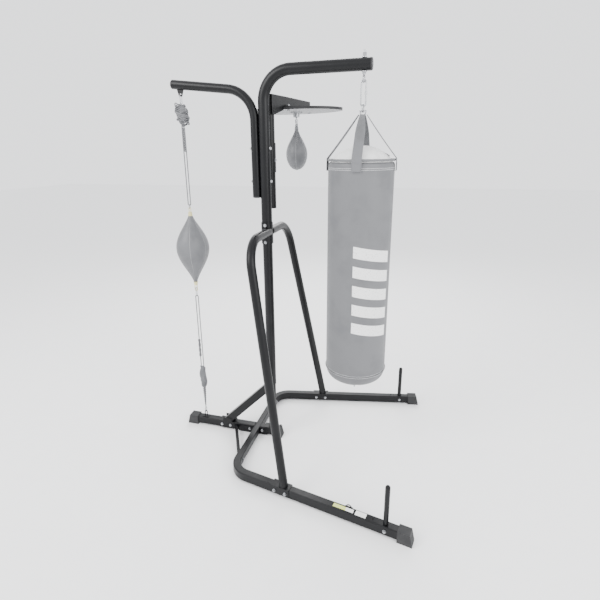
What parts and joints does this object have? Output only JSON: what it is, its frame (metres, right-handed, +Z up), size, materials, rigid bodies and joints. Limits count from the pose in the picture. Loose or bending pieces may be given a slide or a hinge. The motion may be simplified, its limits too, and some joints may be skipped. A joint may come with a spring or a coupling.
{
  "type": "speed bag platform stand",
  "caption": "Free-standing steel boxing stand: a height-adjustable speed bag platform, a heavy bag arm and a double-end bag arm on one mast, with the bags hung in place.",
  "frame": {"origin": "on the floor, at the middle of the stand's footprint", "axes": "+Z up, +X along the heavy bag arm from the mast, +Y to the speed bag platform's side"},
  "size_m": [1.529, 1.3042, 2.263],
  "materials": {
    "powder_coat": "satin",
    "zinc": "satin",
    "rubber": "matte",
    "plug_plastic": "matte",
    "bag_vinyl": "matte",
    "bag_leather": "satin",
    "webbing": "matte",
    "liner": "matte",
    "cord": "matte",
    "board_wood": "satin",
    "label_film": "matte"
  },
  "bodies": {
    "frame": {"near_leg": "powder_coat", "far_leg": "powder_coat", "crossbar": "powder_coat", "rear_leg": "powder_coat", "cross_bracket": "powder_coat", "near_foot": "rubber", "far_foot": "rubber", "rear_foot": "rubber", "front_foot": "rubber", "base_bolts": "zinc", "side_strut": "powder_coat", "base_post": "powder_coat", "rear_brace": "powder_coat", "brace_saddle": "powder_coat", "near_saddle": "powder_coat", "far_saddle": "powder_coat", "near_peg": "powder_coat", "far_peg": "powder_coat", "leg_eye": "powder_coat", "leg_labels": "label_film", "floor_hook": "powder_coat", "lower_mast": "powder_coat", "a_frame_near": "powder_coat", "a_frame_far": "powder_coat", "mast_collar": "powder_coat", "collar_bolts": "zinc", "upper_mast": "powder_coat", "arm_plug": "plug_plastic", "side_arm": "powder_coat", "side_arm_plugs": "plug_plastic", "clamp_bolts": "zinc", "cord_tab": "powder_coat", "post_sleeve": "powder_coat", "sleeve_screw": "zinc", "bag_eyebolt": "zinc", "eyebolt_nuts": "zinc"},
    "platform": {"platform_post": "powder_coat", "platform_bracket": "powder_coat", "platform_board": "board_wood", "bracket_bolts": "zinc", "swivel_plate": "zinc"},
    "swivel": {"swivel_hook": "zinc"},
    "speed_bag": {"speed_bag": "bag_leather"},
    "carabiner": {"carabiner": "zinc"},
    "heavy_bag": {"strap_ring": "zinc", "bag_straps": "webbing", "heavy_bag": "bag_vinyl", "bag_cap": "liner", "base_ring": "webbing"},
    "upper_cord": {"upper_clip": "zinc", "upper_bundle": "cord", "upper_cord": "cord", "upper_hook": "zinc"},
    "double_end_bag": {"double_end_bag": "bag_leather", "bag_links": "zinc"},
    "lower_cord": {"lower_hook": "zinc", "lower_bundle": "cord", "lower_cord": "cord"}
  },
  "joints": [
    {"name": "platform_height", "type": "slide", "parent": "frame", "child": "platform", "axis": [0, 0, 1], "range_m": [-0.06, 0.02]},
    {"name": "swivel_tilt", "type": "hinge", "parent": "platform", "child": "swivel", "pos_m": [-0.07427, 0.35732, 2.001], "axis": [-0.9763, 0.2164, 0], "range_deg": [-30, 30]},
    {"name": "speed_bag_tilt", "type": "hinge", "parent": "swivel", "child": "speed_bag", "pos_m": [-0.07427, 0.35732, 1.9475], "axis": [0.2164, 0.9763, 0], "range_deg": [-45, 45]},
    {"name": "bag_swing_side", "type": "hinge", "parent": "frame", "child": "carabiner", "pos_m": [0.37251, 0, 2.12835], "axis": [1, 0, 0], "range_deg": [-8, 8]},
    {"name": "bag_swing_fore", "type": "hinge", "parent": "carabiner", "child": "heavy_bag", "pos_m": [0.37251, 0, 2.01735], "axis": [0, 1, 0], "range_deg": [-15, 9]},
    {"name": "upper_cord_swing", "type": "hinge", "parent": "frame", "child": "upper_cord", "pos_m": [-0.63749, 0, 2.101], "axis": [0, 1, 0], "range_deg": [-10, 10]},
    {"name": "double_end_tilt", "type": "hinge", "parent": "upper_cord", "child": "double_end_bag", "pos_m": [-0.63749, 0, 1.478], "axis": [0, 1, 0], "range_deg": [-10, 10]},
    {"name": "lower_cord_swing", "type": "hinge", "parent": "frame", "child": "lower_cord", "pos_m": [-0.63749, 0, 0.0954], "axis": [0, 1, 0], "range_deg": [-7.5, 7.5]}
  ],
  "couplings": [
    {"joint": "double_end_tilt", "follows": "upper_cord_swing", "ratio": -1},
    {"joint": "lower_cord_swing", "follows": "upper_cord_swing", "ratio": -0.6976}
  ]
}
